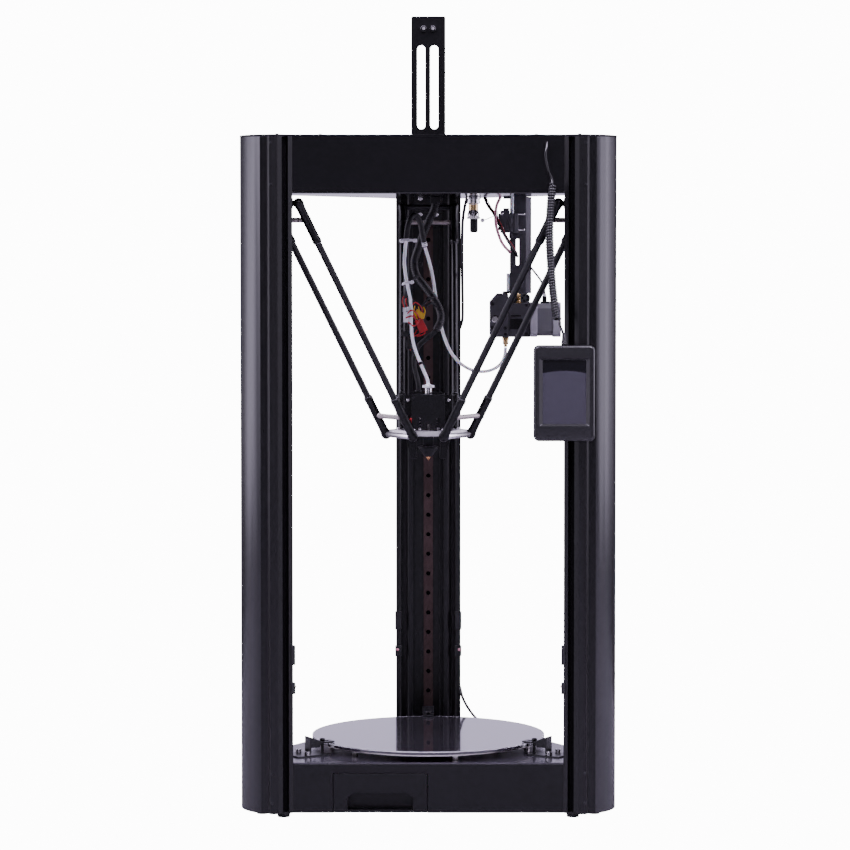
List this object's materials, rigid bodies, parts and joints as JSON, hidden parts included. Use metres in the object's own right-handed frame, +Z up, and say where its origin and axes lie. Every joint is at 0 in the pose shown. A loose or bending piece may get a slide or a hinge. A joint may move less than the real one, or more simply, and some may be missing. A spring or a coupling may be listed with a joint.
{
  "type": "delta printer",
  "caption": "Tall delta 3D printer: black columns with rails and belts, carbon arms carrying an effector over a round glass bed, a side display, drawer and spool bracket.",
  "frame": {"origin": "centre of the machine's bounding box, on the surface that the feet stand on", "axes": "+Z up along the columns, -Y towards the front with the display and drawer, +X to the right seen from the front"},
  "size_m": [0.4404, 0.4203, 0.939],
  "materials": {
    "frame_black": "satin black anodised",
    "cover_black": "satin black anodised",
    "rail_steel": "ground steel",
    "panel_black": "fine satin powder coat",
    "foot_rubber": "matte",
    "screw_black": "black oxide",
    "motor_black": "satin",
    "bracket_steel": "brushed",
    "belt_rubber": "matte",
    "switch_plastic": "matte",
    "heater_alu": "satin",
    "bed_glass": "dark coated glass",
    "clip_black": "black anodised",
    "plastic_black": "fine grain",
    "screen_gloss": "gloss",
    "lead_rubber": "satin",
    "supply_steel": "perforated sheet",
    "board_green": "solder mask",
    "extruder_grey": "satin",
    "connector_chrome": "polished",
    "sleeve_black": "corrugated",
    "tube_white": "waxy",
    "carriage_black": "black anodised",
    "carbon_black": "carbon fibre",
    "effector_alu": "satin",
    "hotend_metal": "machined",
    "shroud_black": "fine grain",
    "pulley_alu": "machined",
    "drawer_black": "fine satin powder coat",
    "rocker_red": "gloss"
  },
  "bodies": {
    "frame": {"column_left": "frame_black", "column_right": "frame_black", "column_rear": "frame_black", "column_covers": "cover_black", "linear_rails": "rail_steel", "top_plate": "panel_black", "top_panels": "panel_black", "ceiling_plate": "panel_black", "base_deck": "panel_black", "base_panels": "panel_black", "base_floor": "panel_black", "rubber_feet": "foot_rubber", "frame_screws": "screw_black", "tower_motors": "motor_black", "idler_brackets": "bracket_steel", "timing_belts": "belt_rubber", "endstop_switches": "switch_plastic", "heat_bed": "heater_alu", "glass_plate": "bed_glass", "bed_standoffs": "bracket_steel", "clip_brackets": "clip_black", "spool_bracket": "panel_black", "spool_arm": "panel_black", "display_holder": "plastic_black", "display_lead": "lead_rubber", "display_coil": "lead_rubber", "power_inlet": "plastic_black", "power_supply": "supply_steel", "mainboard": "board_green", "extruder_bracket": "extruder_grey", "extruder_body": "extruder_grey", "extruder_motor": "motor_black", "filament_sensor": "extruder_grey", "harness_socket": "connector_chrome", "harness": "sleeve_black", "bowden_tube": "tube_white"},
    "carriage_left": {"carriage_left": "carriage_black", "arms_left": "carbon_black"},
    "carriage_right": {"carriage_right": "carriage_black", "arms_right": "carbon_black"},
    "carriage_rear": {"carriage_rear": "carriage_black", "arms_rear": "carbon_black"},
    "effector": {"effector_plate": "effector_alu", "hotend": "hotend_metal", "hotend_shroud": "shroud_black"},
    "fan": {"hotend_fan": "shroud_black"},
    "pulley_left": {"pulley_left": "pulley_alu"},
    "pulley_right": {"pulley_right": "pulley_alu"},
    "pulley_rear": {"pulley_rear": "pulley_alu"},
    "idler_left": {"idler_left": "pulley_alu"},
    "idler_right": {"idler_right": "pulley_alu"},
    "idler_rear": {"idler_rear": "pulley_alu"},
    "clip_left": {"bed_clip_left": "clip_black"},
    "clip_right": {"bed_clip_right": "clip_black"},
    "clip_rear": {"bed_clip_rear": "clip_black"},
    "drawer": {"drawer": "drawer_black"},
    "display": {"display_case": "plastic_black", "display_screen": "screen_gloss"},
    "rocker": {"power_rocker": "rocker_red"},
    "thumbwheel": {"thumbwheel": "plastic_black"}
  },
  "joints": [
    {"name": "effector_slide", "type": "slide", "parent": "frame", "child": "effector", "axis": [0, 0, 1], "range_m": [-0.33, 0]},
    {"name": "carriage_left_slide", "type": "slide", "parent": "frame", "child": "carriage_left", "axis": [0, 0, 1], "range_m": [-0.331, 0.0005]},
    {"name": "carriage_right_slide", "type": "slide", "parent": "frame", "child": "carriage_right", "axis": [0, 0, 1], "range_m": [-0.331, 0.0005]},
    {"name": "carriage_rear_slide", "type": "slide", "parent": "frame", "child": "carriage_rear", "axis": [0, 0, 1], "range_m": [-0.331, 0.0005]},
    {"name": "pulley_left_spin", "type": "hinge", "parent": "frame", "child": "pulley_left", "pos_m": [-0.19633, -0.1231, 0.035], "axis": [-0.866, -0.5, 0], "range_deg": [-3060, 5]},
    {"name": "idler_left_spin", "type": "hinge", "parent": "frame", "child": "idler_left", "pos_m": [-0.19633, -0.1231, 0.762], "axis": [-0.866, -0.5, 0], "range_deg": [-3060, 5]},
    {"name": "pulley_right_spin", "type": "hinge", "parent": "frame", "child": "pulley_right", "pos_m": [0.17433, -0.1612, 0.035], "axis": [0.866, -0.5, 0], "range_deg": [-3060, 5]},
    {"name": "idler_right_spin", "type": "hinge", "parent": "frame", "child": "idler_right", "pos_m": [0.17433, -0.1612, 0.762], "axis": [0.866, -0.5, 0], "range_deg": [-3060, 5]},
    {"name": "pulley_rear_spin", "type": "hinge", "parent": "frame", "child": "pulley_rear", "pos_m": [0.022, 0.17885, 0.035], "axis": [0, 1, 0], "range_deg": [-3060, 5]},
    {"name": "idler_rear_spin", "type": "hinge", "parent": "frame", "child": "idler_rear", "pos_m": [0.022, 0.17885, 0.762], "axis": [0, 1, 0], "range_deg": [-3060, 5]},
    {"name": "fan_spin", "type": "hinge", "parent": "effector", "child": "fan", "pos_m": [0, -0.05315, 0.4662], "axis": [0, 1, 0], "continuous": true},
    {"name": "clip_left_pull", "type": "slide", "parent": "frame", "child": "clip_left", "axis": [-0.866, -0.5, 0], "range_m": [0, 0.006], "stiffness_N_per_m": 400, "springref_m": -0.002},
    {"name": "clip_right_pull", "type": "slide", "parent": "frame", "child": "clip_right", "axis": [0.866, -0.5, 0], "range_m": [0, 0.006], "stiffness_N_per_m": 400, "springref_m": -0.002},
    {"name": "clip_rear_pull", "type": "slide", "parent": "frame", "child": "clip_rear", "axis": [0, 1, 0], "range_m": [0, 0.006], "stiffness_N_per_m": 400, "springref_m": -0.002},
    {"name": "drawer_slide", "type": "slide", "parent": "frame", "child": "drawer", "axis": [0, -1, 0], "range_m": [0, 0.095]},
    {"name": "display_lift", "type": "slide", "parent": "frame", "child": "display", "axis": [0, 0, 1], "range_m": [0, 0.025], "deforming": ["display_lead"]},
    {"name": "rocker_tilt", "type": "hinge", "parent": "frame", "child": "rocker", "pos_m": [0.10765, 0.0524, 0.034], "axis": [0, 0, 1], "range_deg": [-9, 9]},
    {"name": "thumbwheel_spin", "type": "hinge", "parent": "frame", "child": "thumbwheel", "pos_m": [0.118, 0.02185, 0.6014], "axis": [0, -1, 0], "continuous": true}
  ],
  "couplings": [
    {"joint": "carriage_left_slide", "follows": "effector_slide", "ratio": 1},
    {"joint": "carriage_right_slide", "follows": "effector_slide", "ratio": 1},
    {"joint": "carriage_rear_slide", "follows": "effector_slide", "ratio": 1},
    {"joint": "pulley_left_spin", "follows": "effector_slide", "rad_per_m": 161.29},
    {"joint": "idler_left_spin", "follows": "effector_slide", "rad_per_m": 161.29},
    {"joint": "pulley_right_spin", "follows": "effector_slide", "rad_per_m": 161.29},
    {"joint": "idler_right_spin", "follows": "effector_slide", "rad_per_m": 161.29},
    {"joint": "pulley_rear_spin", "follows": "effector_slide", "rad_per_m": 161.29},
    {"joint": "idler_rear_spin", "follows": "effector_slide", "rad_per_m": 161.29}
  ]
}
